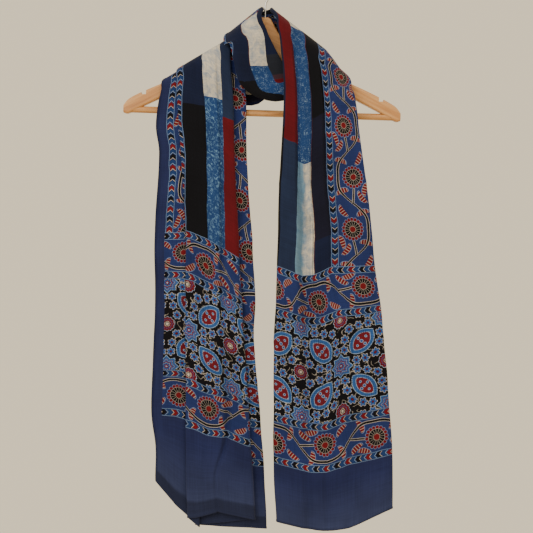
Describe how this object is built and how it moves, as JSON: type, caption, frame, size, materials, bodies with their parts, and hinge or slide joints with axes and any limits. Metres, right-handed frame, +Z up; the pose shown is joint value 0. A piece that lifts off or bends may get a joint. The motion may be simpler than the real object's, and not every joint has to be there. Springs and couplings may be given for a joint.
{
  "type": "block-printed ajrakh cloth stole hung on a wooden clothes hanger",
  "caption": "Long block-printed cotton stole wrapped round the neck of a wooden hanger, both ends hanging in front, with a trouser bar and a steel wire hook.",
  "frame": {"origin": "inside the top of the steel hook, where it hangs on a rail or peg", "axes": "+Z up along the hang, +X to the right seen from the front, +Y to the back"},
  "size_m": [0.4361, 0.0696, 0.8833],
  "materials": {
    "printed_cotton": "matt plain-weave cotton, resist and block printed in indigo, madder red, black and cream",
    "beech_arms": "clear satin lacquer on pale beech",
    "beech_bar": "clear satin lacquer on a turned dowel",
    "steel_wire": "bright drawn wire"
  },
  "bodies": {
    "root": {"cloth": "printed_cotton", "hanger_arms": "beech_arms", "trouser_bar": "beech_bar", "hook": "steel_wire"}
  },
  "joints": []
}
